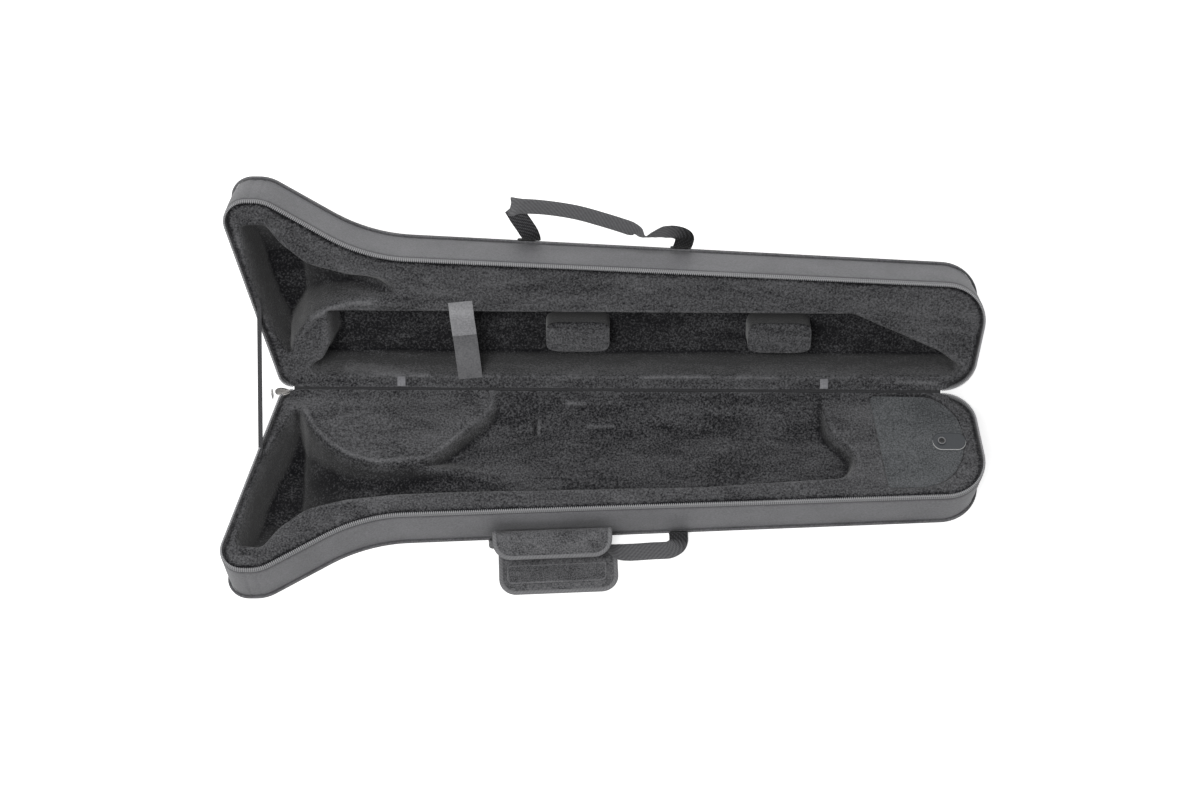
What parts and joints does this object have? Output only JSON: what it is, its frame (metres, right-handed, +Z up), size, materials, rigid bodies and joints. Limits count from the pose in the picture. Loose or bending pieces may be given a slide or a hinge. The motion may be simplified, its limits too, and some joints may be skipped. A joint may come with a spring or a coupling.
{
  "type": "trombone case",
  "caption": "Soft-shell trombone case, open, with moulded bell and slide recesses, zip, stay strap and webbing handles with a wrap.",
  "frame": {"origin": "on the flat underside of the base, 85 mm in front of the hinge line and below it, at about half the length of the case", "axes": "+X along the case from its bell end to its tail, +Y from the handles towards the hinge and the open lid, +Z up"},
  "size_m": [1.0074, 0.505, 0.3065],
  "materials": {
    "shell_nylon": "matte",
    "piping": "matte",
    "zip_tape": "matte",
    "zip_teeth": "satin",
    "plush_lining": "matte",
    "flap_felt": "matte",
    "pull_tab": "satin",
    "slide_strap": "matte",
    "webbing": "matte",
    "wrap_cloth": "matte",
    "fastener_tape": "matte",
    "metal_trim": "polished"
  },
  "bodies": {
    "base": {"base_side_wall": "shell_nylon", "base_outer_panel": "shell_nylon", "base_edge_piping": "piping", "base_zip_tape": "zip_tape", "base_zip_teeth": "zip_teeth", "base_insert": "plush_lining", "hinge_cloth": "zip_tape", "stay_end_base": "webbing", "stay_strap": "webbing", "zip_slider": "metal_trim", "base_handle_anchor_1": "webbing", "base_handle_anchor_2": "webbing", "base_handle_end_1": "webbing", "base_handle_end_2": "webbing"},
    "lid": {"lid_side_wall": "shell_nylon", "lid_outer_panel": "shell_nylon", "lid_edge_piping": "piping", "lid_zip_tape": "zip_tape", "lid_zip_teeth": "zip_teeth", "lid_insert": "plush_lining", "slide_pad_1": "plush_lining", "slide_pad_2": "plush_lining", "hinge_tab_1": "slide_strap", "hinge_tab_2": "slide_strap", "stay_end_lid": "webbing", "lid_handle_anchor_1": "webbing", "lid_handle_anchor_2": "webbing"},
    "flap": {"accessory_flap": "flap_felt", "flap_rivet": "metal_trim"},
    "pull_tab": {"flap_pull_tab": "pull_tab"},
    "strap_upper": {"slide_strap_upper": "slide_strap"},
    "strap_lower": {"slide_strap_lower": "slide_strap"},
    "lid_handle": {"lid_handle_webbing": "webbing"},
    "base_handle": {"base_handle_grip": "webbing", "handle_wrap_spine": "wrap_cloth"},
    "wrap_upper": {"handle_wrap_upper": "wrap_cloth", "wrap_loop_strip": "fastener_tape"},
    "wrap_lower": {"handle_wrap_lower": "wrap_cloth", "wrap_hook_strip": "fastener_tape"},
    "zip_pull": {"zip_pull": "metal_trim"}
  },
  "joints": [
    {"name": "lid_hinge", "type": "hinge", "parent": "base", "child": "lid", "pos_m": [0, 0.085, 0.09066], "axis": [0.9999, 0, -0.0128], "range_deg": [0, 127], "deforming": ["hinge_cloth", "stay_strap"]},
    {"name": "flap_hinge", "type": "hinge", "parent": "base", "child": "flap", "pos_m": [0.3639, 0.079, 0.07999], "axis": [-0.1599, 0.9871, 0.002], "range_deg": [-105, 0]},
    {"name": "pull_tab_swivel", "type": "hinge", "parent": "flap", "child": "pull_tab", "pos_m": [0.45679, 0.01327, 0.0808], "axis": [0.0128, 0, 0.9999], "range_deg": [-25, 25]},
    {"name": "strap_upper_hinge", "type": "hinge", "parent": "lid", "child": "strap_upper", "pos_m": [-0.18276, 0.16418, 0.1886], "axis": [0.9999, 0, -0.0128], "range_deg": [-120, 0]},
    {"name": "strap_lower_hinge", "type": "hinge", "parent": "lid", "child": "strap_lower", "pos_m": [-0.18393, 0.09557, 0.09756], "axis": [-0.9999, 0, 0.0128], "range_deg": [-36, 0]},
    {"name": "lid_handle_hinge", "type": "hinge", "parent": "lid", "child": "lid_handle", "pos_m": [0.0092, 0.2601, 0.18424], "axis": [0.9986, -0.0361, -0.0395], "range_deg": [-60, 30]},
    {"name": "base_handle_pull", "type": "slide", "parent": "base", "child": "base_handle", "axis": [0, -0.6392, 0.769], "range_m": [0, 0.075], "deforming": ["base_handle_end_1", "base_handle_end_2"]},
    {"name": "wrap_upper_hinge", "type": "hinge", "parent": "base_handle", "child": "wrap_upper", "pos_m": [-0.05876, -0.10233, 0.031], "axis": [0.9991, 0.0431, 0], "range_deg": [0, 44]},
    {"name": "wrap_lower_hinge", "type": "hinge", "parent": "base_handle", "child": "wrap_lower", "pos_m": [-0.05916, -0.10493, 0.003], "axis": [0.9991, 0.0431, 0], "range_deg": [-35, 0]},
    {"name": "zip_pull_swing", "type": "hinge", "parent": "base", "child": "zip_pull", "pos_m": [-0.43051, 0.079, 0.09822], "axis": [0, 1, 0], "range_deg": [0, 90]}
  ],
  "couplings": [
    {"joint": "strap_lower_hinge", "follows": "strap_upper_hinge", "ratio": 0.3}
  ]
}
